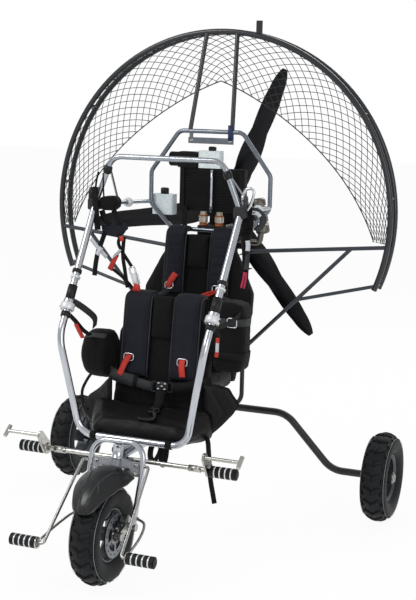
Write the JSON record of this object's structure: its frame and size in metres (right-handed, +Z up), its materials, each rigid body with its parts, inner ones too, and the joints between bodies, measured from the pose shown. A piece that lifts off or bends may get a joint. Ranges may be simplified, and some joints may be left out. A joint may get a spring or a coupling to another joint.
{
  "type": "paramotor trike",
  "caption": "Three-wheeled tandem trike for powered paragliding, with two seats, steered front fork, hoop cage and pusher propeller.",
  "frame": {"origin": "on the ground, on the centre line, halfway between the front and rear axles", "axes": "+Z up, the nose faces -Y, +X is the machine's left side"},
  "size_m": [1.6122, 1.59, 2.1335],
  "materials": {
    "polished_tube": "polished",
    "dark_tube": "satin",
    "grey_tube": "satin",
    "frame_steel": "satin",
    "steel": "brushed",
    "plate": "brushed",
    "ringed_rubber": "matte",
    "textile": "woven",
    "pad_textile": "woven",
    "engine_black": "cast",
    "radiator_black": "matte",
    "tank_plastic": "translucent moulded",
    "fitting_metal": "cast",
    "silencer_metal": "brushed",
    "guard_plastic": "gloss",
    "tyre": "matte",
    "rim_metal": "cast",
    "disc_steel": "brushed",
    "blade": "satin",
    "hub_metal": "machined"
  },
  "bodies": {
    "frame": {"keel": "grey_tube", "front_loop": "polished_tube", "loop_uppers": "polished_tube", "loop_collars": "polished_tube", "hang_lugs": "steel", "top_hoop": "grey_tube", "octagon_hoop": "grey_tube", "hang_bars": "grey_tube", "engine_posts": "frame_steel", "cage_hoop": "dark_tube", "cage_spacers": "dark_tube", "cage_struts": "dark_tube", "radial_bars": "dark_tube", "diagonal_struts": "dark_tube", "rear_axle": "frame_steel", "peg_crossbar": "steel", "upper_pegs": "ringed_rubber", "pedal_levers": "steel", "engine": "engine_black", "radiator": "radiator_black", "coolant_tanks": "tank_plastic", "coolant_fittings": "fitting_metal", "silencer": "silencer_metal", "front_seat": "textile", "front_pads": "pad_textile", "rear_seat": "textile", "rear_pads": "pad_textile", "side_pouch": "textile", "side_bag": "textile"},
    "fork": {"fork_loop": "polished_tube", "fork_crown": "plate", "fork_links": "steel", "front_axle": "steel", "mudguard": "guard_plastic", "steering_pegs": "ringed_rubber", "peg_rods": "steel"},
    "front_wheel": {"tyre_front": "tyre", "rim_front": "rim_metal", "brake_disc": "disc_steel"},
    "rear_wheel_left": {"tyre_rear_left": "tyre", "rim_rear_left": "rim_metal"},
    "rear_wheel_right": {"tyre_rear_right": "tyre", "rim_rear_right": "rim_metal"},
    "propeller": {"prop_hub": "hub_metal", "prop_blades": "blade"}
  },
  "joints": [
    {"name": "steering", "type": "hinge", "parent": "frame", "child": "fork", "pos_m": [0, -0.475, 0.5], "axis": [0, 0.2419, 0.9703], "range_deg": [-25, 25]},
    {"name": "front_wheel_spin", "type": "hinge", "parent": "fork", "child": "front_wheel", "pos_m": [0, -0.6, 0.195], "axis": [1, 0, 0], "continuous": true},
    {"name": "rear_left_spin", "type": "hinge", "parent": "frame", "child": "rear_wheel_left", "pos_m": [0.75, 0.6, 0.195], "axis": [1, 0, 0], "continuous": true},
    {"name": "rear_right_spin", "type": "hinge", "parent": "frame", "child": "rear_wheel_right", "pos_m": [-0.75, 0.6, 0.195], "axis": [1, 0, 0], "continuous": true},
    {"name": "propeller_spin", "type": "hinge", "parent": "frame", "child": "propeller", "pos_m": [0, 0.58, 1.32], "axis": [0, 1, 0], "continuous": true}
  ]
}
